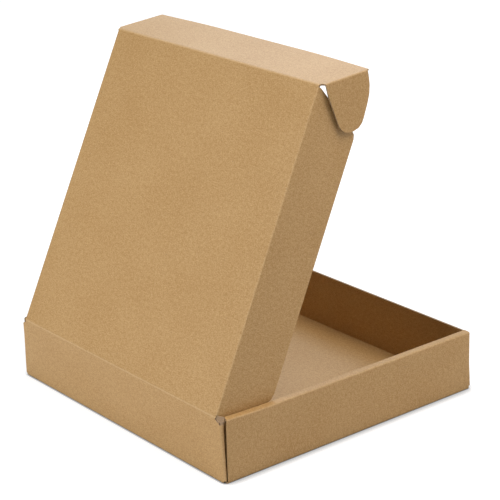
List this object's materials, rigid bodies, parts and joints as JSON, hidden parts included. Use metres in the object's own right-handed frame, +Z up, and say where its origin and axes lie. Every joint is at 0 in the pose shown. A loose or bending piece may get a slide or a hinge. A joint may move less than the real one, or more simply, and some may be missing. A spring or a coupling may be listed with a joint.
{
  "type": "shirt box",
  "caption": "Flat folding shirt box of thin kraft corrugated board: rolled side walls, winged lid standing open, front tuck flap with rounded lock ears.",
  "frame": {"origin": "middle of the floor's underside", "axes": "+X along the hinge crease, +Y towards the hinge wall, +Z up"},
  "size_m": [0.29, 0.2735, 0.3042],
  "materials": {
    "kraft_board": "uncoated matte brown kraft liner with fine fibre mottle"
  },
  "bodies": {
    "tray": {"tray": "kraft_board"},
    "lid": {"lid": "kraft_board"},
    "tuck_flap": {"tuck_flap": "kraft_board"}
  },
  "joints": [
    {"name": "lid_hinge", "type": "hinge", "parent": "tray", "child": "lid", "pos_m": [0, 0.1375, 0.0555], "axis": [-1, 0, 0], "range_deg": [-65, 95]},
    {"name": "tuck_hinge", "type": "hinge", "parent": "lid", "child": "tuck_flap", "pos_m": [0, 0.02339, 0.3002], "axis": [1, 0, 0], "range_deg": [-59.5, 40.5]}
  ],
  "couplings": [
    {"joint": "tuck_hinge", "follows": "lid_hinge", "ratio": -0.62}
  ]
}
